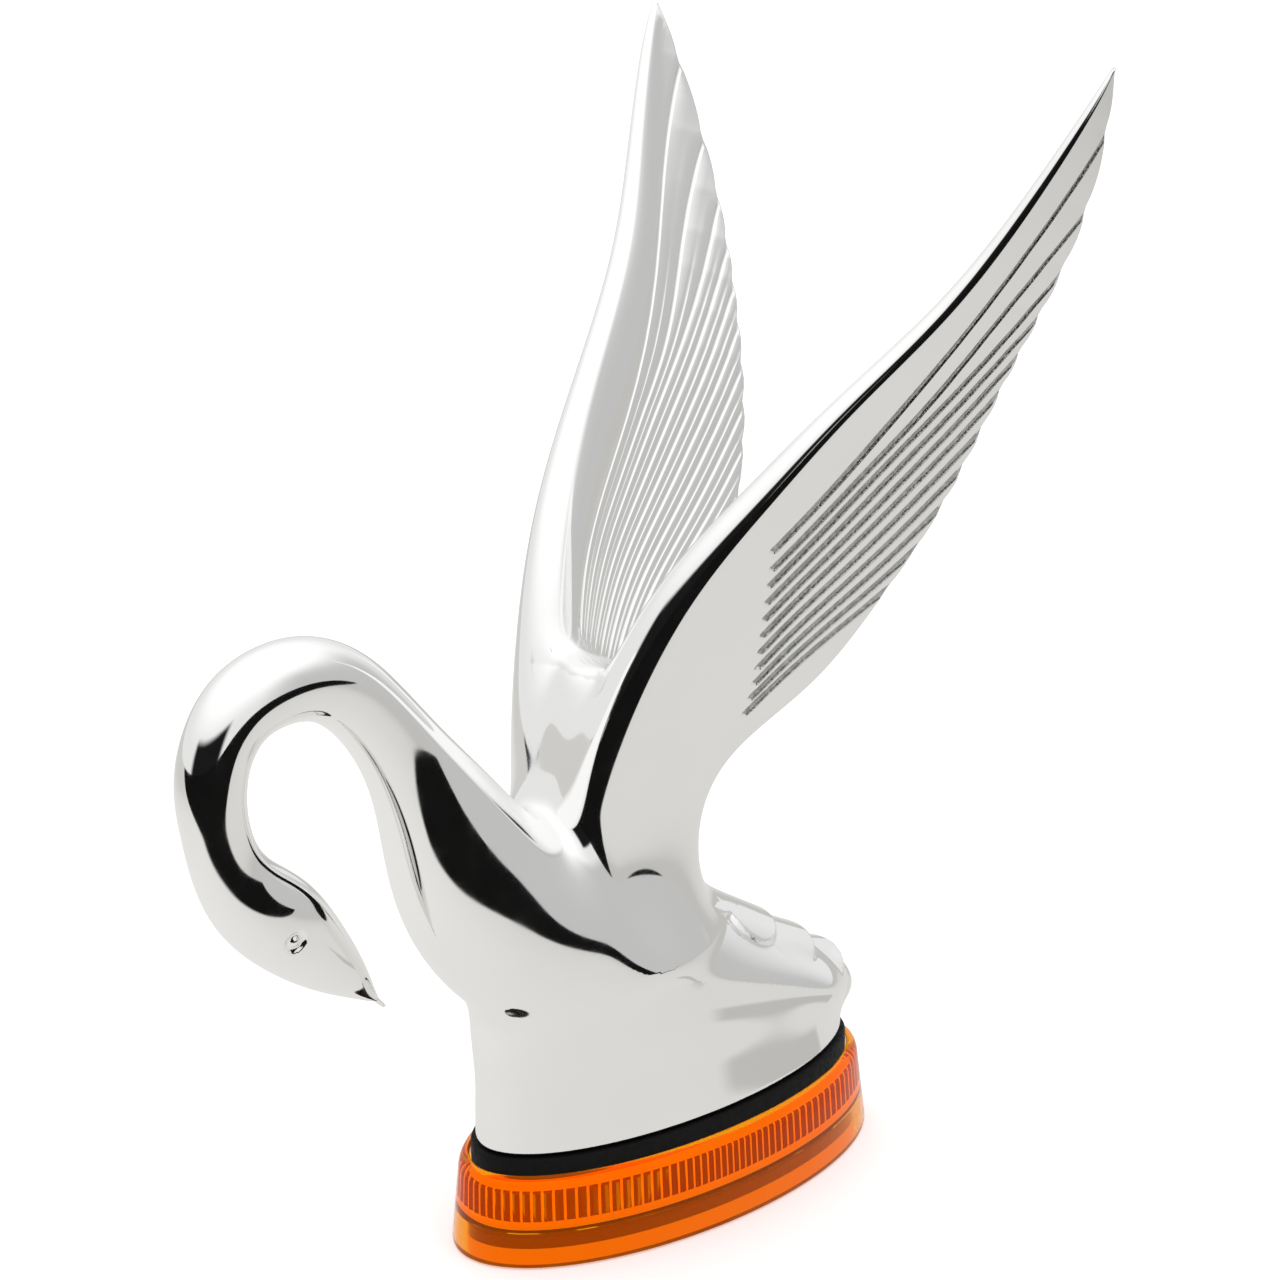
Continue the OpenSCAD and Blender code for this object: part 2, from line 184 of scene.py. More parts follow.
def wing_table():
    lead, trail = local(np.array(LEAD)), local(np.array(TRAIL))
    s0, s1 = 46.0, max(lead[-1, 0], trail[-1, 0])
    s = np.linspace(s0, s1, 1200)
    _, L = natural(np.arange(len(lead)), np.column_stack([lead, NOSE]))
    _, T = natural(np.arange(len(trail)), trail)
    col = [np.interp(s, L[:, 0], L[:, j]) for j in (1, 2, 3)]
    col += [np.interp(s, T[:, 0], T[:, j]) for j in (1, 2)]
    return s0, s1, np.stack(col, 1)


S0, S1, WT = wing_table()


def wing_at(q1):
    """Lead edge, its level, nose radius, trail edge, its level, trailing half thickness."""
    w = look(WT, (q1 - S0) / (S1 - S0) * (len(WT) - 1))
    vL, cL, r, vT, cT = np.moveaxis(w, -1, 0)
    te = np.minimum(0.62, 0.5 * r + 0.05)
    te = te + 2.2 * (1 - ramp(q1, 50, 100))
    tips = feather(q1, vT - vL)
    notch = 1 - np.abs(np.sin(np.pi * tips)) ** 0.7
    vT = vT - 0.9 * notch * ramp(q1, 112, 122) * (1 - ramp(q1, S1 - 10, S1 - 3)) * (1 - ramp(tips, 8.5, 10))
    return vL, cL, r, vT, cT, te


def wing(x, y, z):
    q1 = x * E1[0] + y * E1[1] + z * E1[2]
    q2 = x * E2[0] + y * E2[1] + z * E2[2]
    q3 = x * E3[0] + y * E3[1] + z * E3[2]
    vL, cL, r, vT, cT, te = wing_at(q1)
    span = np.maximum(vT - vL - r - te, 0.2)
    slope = (cT + te - cL - r) / np.maximum(vT - vL - r, 0.3)
    c = np.clip((q2 - vL - r) / span, 0, 1)
    h = te + np.maximum(r - te, 0) * np.exp(-(c / 0.3) ** 2)
    outer = cL + r + slope * (q2 - vL - r)
    over = np.maximum(vL + r - q2, 0) + np.maximum(q2 - vT + te, 0)
    d = np.hypot(over * h / np.where(q2 < vL + r, r, te), q3 - outer + h) - h
    end = np.maximum(q1 - S1, S0 - q1)
    return np.where(end > 0, np.hypot(np.maximum(d, 0), end), d)


spine, pedestal, root = Sweep(NECK + BODY, 3.0), Column(PEDESTAL), Column(ROOT)


def plates(x, y, z):
    out = None
    for px, pz, a, b, drop in PLATES:
        s, c = np.sin(np.radians(drop)), np.cos(np.radians(drop))
        u, w = (x - px) * c + (z - pz) * s, -(x - px) * s + (z - pz) * c
        k0 = np.sqrt((u / a) ** 2 + (y / b) ** 2)
        k1 = np.sqrt((u / a ** 2) ** 2 + (y / b ** 2) ** 2)
        d = k0 * (k0 - 1) / np.maximum(k1, 1e-6)
        d = smax(smax(d, w - 1.3 + y * y / 30, 0.6), -w - 7, 0.7)
        out = d if out is None else smin(out, d, 0.6)
    return out


def figure(p):
    """Signed distance (near the surface) of the casting's outside."""
    x, y, z = p[..., 0], p[..., 1], p[..., 2]
    ay = np.abs(y)
    wl, wr = wing(x, ay, z), wing(x, -ay, z)
    w = smin(wl, wr, 7)
    w = smin(w, smax(smax(root(x, y, z), z - 106.5, 5), 54 - z, 3), 8)
    d = smin(spine(x, y, z), w, 11)
    ped = smax(pedestal(x, y, z), Z0 - z, 1.6)
    ped = smax(ped, z - 50, 3)
    d = smin(d, ped, 10)
    d = smin(d, plates(x, y, z), 1.0)
    return smax(d, Z0 - z, 1.2)


def gradient(f, p, e=0.02):
    g = np.zeros_like(p)
    for k in ((1, -1, -1), (-1, -1, 1), (-1, 1, -1), (1, 1, 1)):
        k = np.array(k, float)
        g += k * f(p + k * e)[..., None]
    return g / (4 * e)


def settle(f, p, steps=3, far=0.8):
    for _ in range(steps):
        g = gradient(f, p)
        move = f(p)[..., None] * g / np.maximum((g * g).sum(-1), 0.05)[..., None]
        n = np.linalg.norm(move, axis=-1, keepdims=True)
        p = p - move * np.minimum(1, far / np.maximum(n, 1e-9))
    return p


def nets(f, lo, hi, h):
    """Surface nets of f < 0 on a grid: points and quads."""
    ax = [np.arange(lo[k], hi[k] + h / 2, h) for k in range(3)]
    F = np.empty([len(a) for a in ax], np.float32)
    for i, x in enumerate(ax[0]):
        P = np.stack(np.meshgrid([x], ax[1], ax[2], indexing="ij"), -1)[0]
        F[i] = f(P)
    tot = np.zeros([n - 1 for n in F.shape], np.float32)
    pos = np.zeros(tot.shape + (3,), np.float32)
    quads = []
    for d in range(3):
        lo_s = [slice(None)] * 3; hi_s = [slice(None)] * 3
        lo_s[d] = slice(None, -1); hi_s[d] = slice(1, None)
        a, b = F[tuple(lo_s)], F[tuple(hi_s)]
        i = np.argwhere((a < 0) != (b < 0))
        i = i[((i > 0) | (np.arange(3) == d)).all(1)]
        i = i[((i < np.array(F.shape) - 1) | (np.arange(3) == d)).all(1)]
        fa, fb = a[tuple(i.T)], b[tuple(i.T)]
        t = fa / (fa - fb)
        at = i.astype(np.float32); at[:, d] += t
        e, g = [k for k in range(3) if k != d]
        cell = []
        for oe, og in ((0, 0), (1, 0), (1, 1), (0, 1)):
            c = i.copy(); c[:, e] -= oe; c[:, g] -= og
            cell.append(c)
            np.add.at(tot, tuple(c.T), 1)
            np.add.at(pos, tuple(c.T), at)
        flip = (fa < 0) ^ (d == 1)
        idx = np.stack([np.ravel_multi_index(c.T, tot.shape) for c in cell], 1)
        idx[~flip] = idx[~flip][:, ::-1]
        quads.append(idx)
    quads = np.concatenate(quads)
    used, inv = np.unique(quads, return_inverse=True)
    inv = inv.reshape(quads.shape)
    p = pos.reshape(-1, 3)[used] / tot.reshape(-1)[used][:, None]
    return p.astype(float) * h + np.array(lo), inv


# ---------------------------------------------------------------- feathers
# Each groove line's distance from the leading edge, at stations along the wing
LINE_AT = [84, 104, 118, 135, 150, 170, 185, 200, 214]
LINES = natural(LINE_AT, np.array([
    [9.4, 9.6, 11.5, 12.8, 11.8, 8.9, 8.0, 8.3, 8.6],
    [11.7, 12.8, 15.3, 16.9, 17.2, 14.9, 15.2, 17.4, 19.5],
    [13.6, 15.8, 18.3, 20.0, 20.8, 20.9, 21.8, 24.0, 26.5],
    [20.0, 24.6, 28.1, 30.9, 32.0, 32.5, 36.0, 41.0, 46.0],
    [30.2, 40.0, 46.4, 50.5, 52.0, 55.0, 62.0, 72.0, 80.0]]).T)[1]
LAST = 11


def lines_at(q1):
    return np.moveaxis(look(LINES, (q1 - LINE_AT[0]) / (LINE_AT[-1] - LINE_AT[0]) * (len(LINES) - 1)), -1, 0)


def feather(q1, w):
    """Feather number at distance w from the leading edge; a groove runs along each whole number."""
    a, b, c, d, e = lines_at(q1)
    return (1 + np.minimum((w - a) / (b - a), 1) + np.clip((w - b) / (c - b), 0, 1)
            + 3 * np.clip((w - c) / (d - c), 0, 1) + 5 * np.maximum((w - d) / (e - d), 0))


def line_w(q1, k):
    """Distance of groove k from the leading edge; the inverse of feather."""
    a, b, c, d, e = lines_at(q1)
    return (a + (b - a) * np.minimum(k - 1, 1) + (c - b) * np.clip(k - 2, 0, 1)
            + (d - c) * np.clip(k - 3, 0, 3) / 3 + (e - d) * np.maximum(k - 6, 0) / 5)


def groove_width(q1):
    return 2.2 - 0.8 * ramp(q1, 135, 190)


def trough(gap, half, flat=0.3):
    return 1 - ramp(np.abs(gap) / half, flat, 1.0)


def reliefs(x, y, z):
    """How deep the feather grooves are cut at a point near the left wing's outer and inner face."""
    q1 = x * E1[0] + y * E1[1] + z * E1[2]
    q2 = x * E2[0] + y * E2[1] + z * E2[2]
    q3 = x * E3[0] + y * E3[1] + z * E3[2]
    vL, cL, r, vT, cT, te = wing_at(q1)
    w = q2 - vL
    phi = feather(q1, w)
    k = np.clip(np.rint(phi), 1, LAST)
    gap = w - line_w(q1, k)
    edge = ramp(vT - q2, 0.2, 3.5)
    start = ramp(q1 - (118.3 - 3.11 * (k - 1)), 0.0, 1.4)
    out = 0.55 * trough(gap, groove_width(q1) / 2, 0.5) * start * (0.25 + 0.75 * edge)
    k2 = np.clip(np.rint(phi - 0.5), 1, LAST) + 0.5
    gap2 = w - line_w(q1, k2)
    rise = ramp(q1, 87, 93)
    into = (0.45 * trough(gap, 0.62) + 0.22 * trough(gap2, 0.5) * (1 - ramp(q1, 150, 175))) * rise
    into = into * (0.3 + 0.7 * edge)
    slope = (cT + te - cL - r) / np.maximum(vT - vL - r, 0.3)
    span = np.maximum(vT - vL - r - te, 0.2)
    c = np.clip((q2 - vL - r) / span, 0, 1)
    h = te + np.maximum(r - te, 0) * np.exp(-(c / 0.3) ** 2)
    side = ramp(q3 - (cL + r + slope * (q2 - vL - r) - h), -0.15, 0.15)
    live = ramp(q1, 84, 86) * (1 - ramp(q1, 212, 216))
    return out * side * live, into * (1 - side) * live


EYE = np.array([84.7, 6.8, 76.1])


def eye(x, y, z):
    """Shallow ring round a bead on each side of the head."""
    r = np.sqrt((x - EYE[0]) ** 2 + (np.abs(y) - EYE[1]) ** 2 + (z - EYE[2]) ** 2)
    return 0.5 * (1 - ramp(r, 1.3, 2.3)) - 0.6 * (1 - ramp(r, 0.4, 1.2))


def whole(p):
    """The finished outside: figure, feathers and eyes, without the hollow below."""
    x, y, z = p[..., 0], p[..., 1], p[..., 2]
    d = figure(p)
    near = np.abs(d) < 1.5
    if near.any():
        xs, ys, zs = x[near], np.abs(y[near]), z[near]
        d = d.copy()
        d[near] += sum(reliefs(xs, ys, zs)) + eye(xs, ys, zs)
    return d


def hollow(x, y, z):
    def oval(a, b, top):
        k0 = np.sqrt((x / a) ** 2 + (y / b) ** 2)
        k1 = np.sqrt((x / a ** 2) ** 2 + (y / b ** 2) ** 2)
        return smax(k0 * (k0 - 1) / np.maximum(k1, 1e-6), z - top, 2.5)
    return smin(oval(39.3, 14.4, 31.0), oval(14.1, 10.8, 43.0), 1.0)


def with_hollow(p):
    return smax(whole(p), -hollow(p[..., 0], p[..., 1], p[..., 2]), 0.5)


CUT = 85.5


def axis_of(p):
    """The wing's long axis at each point, for either side."""
    e = np.tile(E1, (len(p), 1))
    e[:, 1] *= np.where(p[:, 1] < 0, -1, 1)
    return e


def along(p):
    return p[:, 0] * E1[0] + np.abs(p[:, 1]) * E1[1] + p[:, 2] * E1[2]


def wing_rings():
    """Rings of points round the left wing from the cut to near its tip."""
    rows = np.concatenate([np.arange(CUT + 0.8, 120, 0.8), np.arange(120.5, S1 - 3, 1.5),
                           S1 - np.array([3, 2, 1.2, 0.6, 0.25, 0.08])])
    out = []
    for s in rows:
        vL, cL, r, vT, cT, te = [float(v) for v in wing_at(np.array(s))]
        W = vT - vL
        g = groove_width(s) / 2
        end = max(W - te, r)
        first = line_w(s, 1) - 1.35 * g
        knots = list(np.linspace(r, max(first, r), 7)[:-1])
        for k in range(1, LAST + 1):
            m = float(line_w(s, k))
            knots += [m + g * f for f in (-1.35, -1.0, -0.72, -0.32, 0.32, 0.72, 1.0, 1.35)]
        knots = np.maximum.accumulate(np.clip(knots, r, end))
        knots = np.append(knots, end)
        inner = list(np.linspace(r, max(first, r), 7)[:-1])
        for k in np.arange(1, LAST + 0.6, 0.5):
            m = float(line_w(s, k))
            inner += [m + f for f in (-0.6, -0.4, 0.0, 0.4, 0.6)]
        inner = np.maximum.accumulate(np.clip(inner, r, end))
        inner = np.append(inner, end)[::-1]
        slope = (cT + te - cL - r) / max(W - r, 0.3)
        span = max(W - r - te, 0.2)

        def section(w, sign):
            c = np.clip((w - r) / span, 0, 1)
            h = te + max(r - te, 0) * np.exp(-(c / 0.3) ** 2)
            top = cL + r + slope * (w - r)
            return np.column_stack([vL + w, top - h + sign * h])
        a = np.radians(np.linspace(-90, 90, 17)[1:-1])
        nose = np.column_stack([vL + r - r * np.cos(a), cL + r * np.sin(a) - slope * r * np.cos(a)])
        b = np.radians(np.linspace(90, -90, 7)[1:-1])
        tail = np.column_stack([vL + W - te + te * np.cos(b),
                                cL + r + slope * (W - te - r) - te + te * np.sin(b)])
        loop = np.concatenate([nose, section(knots, 1), tail, section(inner, -1)])
        out.append(np.column_stack([np.full(len(loop), s), loop]))
    q = np.array(out)
    return q @ np.stack([E1, E2, E3])


def boundary_loops(faces):
    """Chains of the edges that only one face has, in that face's direction."""
    e = np.concatenate([faces[:, [k, (k + 1) % faces.shape[1]]] for k in range(faces.shape[1])])
    key = {(a, b) for a, b in e.tolist()}
    nxt = {a: b for a, b in key if (b, a) not in key}
    loops = []
    while nxt:
        a, b = nxt.popitem()
        loop = [a]
        while b != loop[0] and b in nxt:
            loop.append(b)
            b = nxt.pop(b)
        loops.append(loop)
    return loops


def zipper(pa, a, pb, b):
    """Triangles between two rings of points that run the same way round."""
    start = int(np.linalg.norm(pb[b] - pa[a[0]], axis=1).argmin())
    b = list(b[start:]) + list(b[:start])
    a, b = list(a) + [a[0]], b + [b[0]]
    i = j = 0
    out = []
    while i < len(a) - 1 or j < len(b) - 1:
        da = np.linalg.norm(pa[a[i + 1]] - pb[b[j]]) if i < len(a) - 1 else 1e9
        db = np.linalg.norm(pa[a[i]] - pb[b[j + 1]]) if j < len(b) - 1 else 1e9
        if da < db:
            out.append((a[i + 1], a[i], b[j]))
            i += 1
        else:
            out.append((b[j], b[j + 1], a[i]))
            j += 1
    return out


def build_swan(step):
    """Points, faces (3 or 4 corners), normals and groove faces of the casting's skin, in millimetres."""
    p, q = nets(with_hollow, (-50, -24, 17.4), (104, 24.01, 126), step)
    keep = (along(p) < CUT)[q].all(1)
    q = q[keep]
    used, q = np.unique(q, return_inverse=True)
    q = q.reshape(-1, 4)
    p = settle(with_hollow, p[used], 4, step)
    loops = [l for l in boundary_loops(q) if len(l) > 20]
    for loop in loops:
        for _ in range(4):
            s = p[loop]
            n = gradient(whole, s)
            n /= np.linalg.norm(n, axis=1)[:, None]
            e = axis_of(s)
            t = e - (e * n).sum(1)[:, None] * n
            t /= np.maximum((t * t).sum(1), 0.2)[:, None]
            s = s + (CUT - along(s))[:, None] * t
            p[loop] = settle(whole, s, 1, step)
    rings = wing_rings()
    m, n = rings.shape[:2]
    skin = settle(whole, rings.reshape(-1, 3), 3, 0.5)
    tip = skin.reshape(m, n, 3)[-1].mean(0) + 0.05 * E1
    wing_p = np.vstack([skin, tip])
    idx = np.arange(m * n).reshape(m, n)
    side = np.stack([idx[:-1], np.roll(idx, -1, 1)[:-1], np.roll(idx, -1, 1)[1:], idx[1:]], -1).reshape(-1, 4)
    cap = np.stack([idx[-1], np.roll(idx[-1], -1), np.full(n, m * n), np.full(n, m * n)], -1)
    wf = np.concatenate([side, cap])
    points, faces = [p], [q]
    base = len(p)
    tris = []
    for sgn in (1, -1):
        P = wing_p * np.array([1, sgn, 1])
        F = wf.copy()
        c = P[F[:, :3]]
        fn = np.cross(c[:, 1] - c[:, 0], c[:, 2] - c[:, 0])
        gn = gradient(figure, c[:, 0])
        if ((fn * gn).sum(1) > 0).mean() < 0.5:
            F = F[:, ::-1]
        ring = idx[0] + base
        loop = [l for l in loops if p[l][:, 1].mean() * sgn > 0][0]

        def spin(pts):
            e2 = E2 * np.array([1, sgn, 1])
            e3 = E3 * np.array([1, sgn, 1])
            u = pts @ e2, pts @ e3
            return np.sign((u[0] * np.roll(u[1], -1) - u[1] * np.roll(u[0], -1)).sum())
        if spin(p[loop]) != spin(P[idx[0]]):
            ring = ring[::-1]
        allp = np.vstack([p, np.zeros((base - len(p), 3)), P])
        tris += zipper(allp, np.array(loop), allp, ring)
        points.append(P)
        faces.append(F + base)
        base += len(P)
    P = np.vstack(points)
    quads = np.vstack(faces)
    key = np.round(P, 4)
    _, first, inv = np.unique(key, axis=0, return_index=True, return_inverse=True)
    inv = inv.reshape(-1)
    P = P[first]
    polys = []
    for f in inv[quads].tolist() + [list(t) for t in inv[np.array(tris)].tolist()]:
        g = [v for i, v in enumerate(f) if v != f[i - 1]]
        if len(set(g)) == len(g) and len(g) > 2:
            polys.append(g)
    N = gradient(with_hollow, P)
    N /= np.maximum(np.linalg.norm(N, axis=1), 1e-9)[:, None]
    middle = np.array([P[g].mean(0) for g in polys])
    # Faces cut deep in the grooves get the chrome darkened with painted shade
    grooved = reliefs(middle[:, 0], np.abs(middle[:, 1]), middle[:, 2])[0] > 0.16
    return P, polys, N, grooved


# ---------------------------------------------------------------- materials
def material(name, **sockets):
    """A Principled material; returns it with its nodes, links and shader."""
    m = bpy.data.materials.new(name)
    m.use_nodes = True
    nt = m.node_tree
    b = nt.nodes["Principled BSDF"]
    for k, v in sockets.items():
        b.inputs[k.replace("_", " ")].default_value = v
    return m, nt, b


def noise(nt, scale, detail=3.0, rough=0.5, stretch=None):
    tc = nt.nodes.new("ShaderNodeTexCoord")
    n = nt.nodes.new("ShaderNodeTexNoise")
    n.inputs["Scale"].default_value = scale
    n.inputs["Detail"].default_value = detail
    n.inputs["Roughness"].default_value = rough
    src = tc.outputs["Object"]
    if stretch:
        mp = nt.nodes.new("ShaderNodeMapping")
        mp.inputs["Scale"].default_value = stretch
        nt.links.new(src, mp.inputs["Vector"])
        src = mp.outputs["Vector"]
    nt.links.new(src, n.inputs["Vector"])
    return n.outputs["Fac"]


def spread(nt, fac, low, high, target):
    """Drives a socket with a noise between low and high."""
    r = nt.nodes.new("ShaderNodeMapRange")
    r.inputs["From Min"].default_value = 0.3
    r.inputs["From Max"].default_value = 0.7
    r.inputs["To Min"].default_value = low
    r.inputs["To Max"].default_value = high
    nt.links.new(fac, r.inputs["Value"])
    nt.links.new(r.outputs["Result"], target)


def tint(nt, fac, a, b, target):
    """Drives a colour socket with a noise between two colours."""
    m = nt.nodes.new("ShaderNodeMix")
    m.data_type = "RGBA"
    m.inputs["A"].default_value = (*a, 1)
    m.inputs["B"].default_value = (*b, 1)
    nt.links.new(fac, m.inputs["Factor"])
    nt.links.new(m.outputs["Result"], target)


def bump(nt, fac, shader, strength, distance):
    b = nt.nodes.new("ShaderNodeBump")
    b.inputs["Strength"].default_value = strength
    b.inputs["Distance"].default_value = distance
    nt.links.new(fac, b.inputs["Height"])
    nt.links.new(b.outputs["Normal"], shader.inputs["Normal"])


def make_chrome():
    m, nt, b = material("chrome_plate", Metallic=1.0, Roughness=0.05)
    tint(nt, noise(nt, 35, 2), (0.90, 0.90, 0.89), (0.94, 0.94, 0.935), b.inputs["Base Color"])
    spread(nt, noise(nt, 220, 4), 0.035, 0.085, b.inputs["Roughness"])
    bump(nt, noise(nt, 90, 2), b, 0.02, 0.0004)
    return m


def make_groove_chrome_painted_shade():
    """Chrome over the rough cast bottoms of the feather grooves, darkened with painted shade."""
    m, nt, b = material("chrome_groove_painted_shade", Metallic=1.0, Roughness=0.2)
    # Painted shade: a dark speckled base colour, well below the chrome's, stands in for the shade in the
    # grooves
    tint(nt, noise(nt, 900, 3, 0.7), (0.16, 0.16, 0.16), (0.78, 0.78, 0.77), b.inputs["Base Color"])
    spread(nt, noise(nt, 700, 3), 0.10, 0.30, b.inputs["Roughness"])
    bump(nt, noise(nt, 1300, 3, 0.6), b, 0.5, 0.0003)
    return m


def make_amber(name, low, high, clear, glow):
    m, nt, b = material(name, Roughness=0.06, IOR=1.36, Transmission_Weight=clear)
    b.inputs["Specular IOR Level"].default_value = 0.12
    b.inputs["Specular Tint"].default_value = (1.0, 0.45, 0.05, 1)
    tint(nt, noise(nt, 60, 2), low, high, b.inputs["Base Color"])
    spread(nt, noise(nt, 400, 3), 0.03, 0.10, b.inputs["Roughness"])
    # Painted glow: emission makes the amber shine with no lamp lighting it
    b.inputs["Emission Color"].default_value = (*high, 1)
    b.inputs["Emission Strength"].default_value = glow
    return m


def make_rubber(name, shade):
    m, nt, b = material(name, Roughness=0.6)
    tint(nt, noise(nt, 500, 3), (shade, shade, shade), (shade * 1.6, shade * 1.6, shade * 1.55),
         b.inputs["Base Color"])
    spread(nt, noise(nt, 900, 4), 0.5, 0.75, b.inputs["Roughness"])
    b.inputs["Specular IOR Level"].default_value = 0.15
    bump(nt, noise(nt, 1500, 4), b, 0.25, 0.0001)
    return m


def make_nylon():
    m, nt, b = material("dark_nylon_moulded", Roughness=0.45)
    tint(nt, noise(nt, 250, 3), (0.018, 0.018, 0.02), (0.03, 0.03, 0.032), b.inputs["Base Color"])
    spread(nt, noise(nt, 700, 4), 0.35, 0.6, b.inputs["Roughness"])
    bump(nt, noise(nt, 2200, 3), b, 0.3, 0.00008)
    return m


def make_metal(name, a, c, low, high):
    m, nt, b = material(name, Metallic=1.0)
    tint(nt, noise(nt, 300, 3), a, c, b.inputs["Base Color"])
    spread(nt, noise(nt, 600, 4, stretch=(1, 1, 6)), low, high, b.inputs["Roughness"])
    bump(nt, noise(nt, 1800, 3), b, 0.12, 0.00006)
    return m


def make_glass():
    m, nt, b = material("bulb_clear_glass", Roughness=0.02, IOR=1.46, Transmission_Weight=1.0)
    tint(nt, noise(nt, 120, 2), (0.95, 0.97, 0.97), (1.0, 1.0, 1.0), b.inputs["Base Color"])
    spread(nt, noise(nt, 300, 3), 0.01, 0.05, b.inputs["Roughness"])
    return m


chrome = make_chrome()
FINISH = {"chrome": chrome, "amber": make_amber("amber_lens", (1.0, 0.15, 0.0), (1.0, 0.19, 0.0), 0.9, 0.07),
          "black_rubber": make_rubber("black_rubber_soft", 0.003),
          "dark_nylon": make_nylon(),
          "zinc_steel": make_metal("zinc_plated_steel", (0.55, 0.56, 0.58), (0.72, 0.72, 0.70), 0.22, 0.42),
          "brass": make_metal("brass_strip", (0.72, 0.50, 0.20), (0.85, 0.63, 0.28), 0.2, 0.4),
          "clear_glass": make_glass(),
          "filament": make_metal("tungsten_wire", (0.25, 0.24, 0.23), (0.4, 0.38, 0.36), 0.4, 0.6)}
for name, node in nodes.items():
    s = next(x["material_slot"] for x in frame["record"]["subparts"] if x["node"] == name)
    if not node.material_slots:
        node.data.materials.append(FINISH[s])
    for ms in node.material_slots:
        ms.material = FINISH[s]


# ---------------------------------------------------------------- meshes
def new_piece(name, points, polys, mat, normals=None, body="ornament", node=None):
    me = bpy.data.meshes.new(name)
    me.from_pydata((np.asarray(points) * MM).tolist(), [], polys)
    me.validate()
    me.polygons.foreach_set("use_smooth", [True] * len(me.polygons))
    if normals is not None and len(me.vertices) == len(points):
        me.normals_split_custom_set_from_vertices(normals.tolist())
    me.materials.append(mat)
    o = bpy.data.objects.new(name, me)
    bpy.context.scene.collection.objects.link(o)
    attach(o, body)
    if node:
        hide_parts(node)
    return o


EVEN = 0.2  # spaces points nearly evenly along the oval


def oval_tube(profile, n, shift=None):
    """Closed band round the pedestal's oval; profile is a loop of (offset, height)."""
    rings = []
    for i, (o, z) in enumerate(profile):
        t = np.linspace(0, 2 * np.pi, n, endpoint=False)
        off = o + (shift(i, t) if shift else 0)
        t = t + EVEN * np.sin(2 * t)
        rings.append(np.column_stack([(OVAL_A + off) * np.cos(t), (OVAL_B + off) * np.sin(t), np.full(n, z)]))
    pts = np.vstack(rings)
    m = len(profile)
    idx = np.arange(m * n).reshape(m, n)
    quad = np.stack([idx, np.roll(idx, -1, 1), np.roll(np.roll(idx, -1, 0), -1, 1), np.roll(idx, -1, 0)], -1)
    return pts, quad.reshape(-1, 4)


def sharp_by_angle(o, deg):
    bpy.context.view_layer.objects.active = o
    o.select_set(True)
    bpy.ops.object.shade_smooth_by_angle(angle=math.radians(deg))
    o.select_set(False)


def solid_turn(profile, n, cx=0.0):
    """Points and faces of a closed turned shape; profile runs from axis to axis or closes on itself."""
    pts, faces = [], []
    t = np.linspace(0, 2 * np.pi, n, endpoint=False)
    for r, z in profile:
        pts.append(np.column_stack([cx + r * np.cos(t), r * np.sin(t), np.full(n, z)]))
    idx = np.arange(len(profile) * n).reshape(-1, n)
    quad = np.stack([idx, np.roll(idx, -1, 1), np.roll(np.roll(idx, -1, 0), -1, 1), np.roll(idx, -1, 0)], -1)
    return np.vstack(pts), quad.reshape(-1, 4).tolist()


STEP = 0.6
P, polys, N, grooved = build_swan(STEP)
swan = new_piece("swan_skin", P, polys, chrome, N, node="swan_casting")
# Second material: chrome darkened with painted shade, for the groove faces
swan.data.materials.append(make_groove_chrome_painted_shade())
if len(swan.data.polygons) == len(polys):
    swan.data.polygons.foreach_set("material_index", grooved.astype(int))

post_x, boss_x, post_r, bore_r, bore_deep = 22.2, 33.0, 5.2, 2.55, 20.0
for tag, cx in (("front", post_x), ("rear", -post_x)):
    prof = [(post_r - 0.4, 0.0), (post_r, 0.4), (post_r, 32.0), (0.01, 32.0), (0.01, bore_deep),
            (bore_r, bore_deep), (bore_r, 0.4), (bore_r + 0.4, 0.0)]
    pts, fs = solid_turn(prof, 64, cx)
    o = new_piece("hood_post_" + tag, pts, fs, chrome, node="swan_casting")
    sharp_by_angle(o, 35)
for tag, cx in (("front", boss_x), ("rear", -boss_x)):
    prof = [(2.8, 5.2), (3.0, 5.4), (3.0, 32.0), (0.01, 32.0), (0.01, 14.2), (1.25, 14.2), (1.25, 5.2)]
    pts, fs = solid_turn(prof, 48, cx)
    o = new_piece("screw_boss_" + tag, pts, fs, chrome, node="swan_casting")
    sharp_by_angle(o, 35)

# Lens: outer wall, rounded rim, gasket pocket, top flange, fluted inner wall, ledge and recess
FLUTES = 112
FLUTE_DEPTH = 0.75
PER_FLUTE = 8  # points across one flute
lens_profile = [
    (4.6, 0.0), (5.0, 0.25), (5.1, 0.7), (3.5, 14.4), (3.42, 15.0), (3.15, 15.9), (2.75, 16.6), (2.2, 17.0),
    (1.75, 17.1), (1.4, 16.95), (1.25, 16.7), (1.25, 15.6), (-4.3, 15.6), (-4.3, 13.6), (0.3, 13.6),
    (0.3, 13.3), (0.3, 7.9), (0.3, 7.6), (0.3, 6.0), (2.4, 6.0), (2.4, 0.0)]
FLUTED = {15, 16}


def flute(i, t):
    if i not in FLUTED:
        return np.zeros_like(t)
    saw = np.abs((t * FLUTES / (2 * np.pi)) % 1.0 - 0.5) * 2
    return FLUTE_DEPTH * (1 - saw)


pts, fs = oval_tube(lens_profile, FLUTES * PER_FLUTE, flute)
lens = new_piece("amber_lens_ring", pts, fs.tolist(), FINISH["amber"], node="lens")
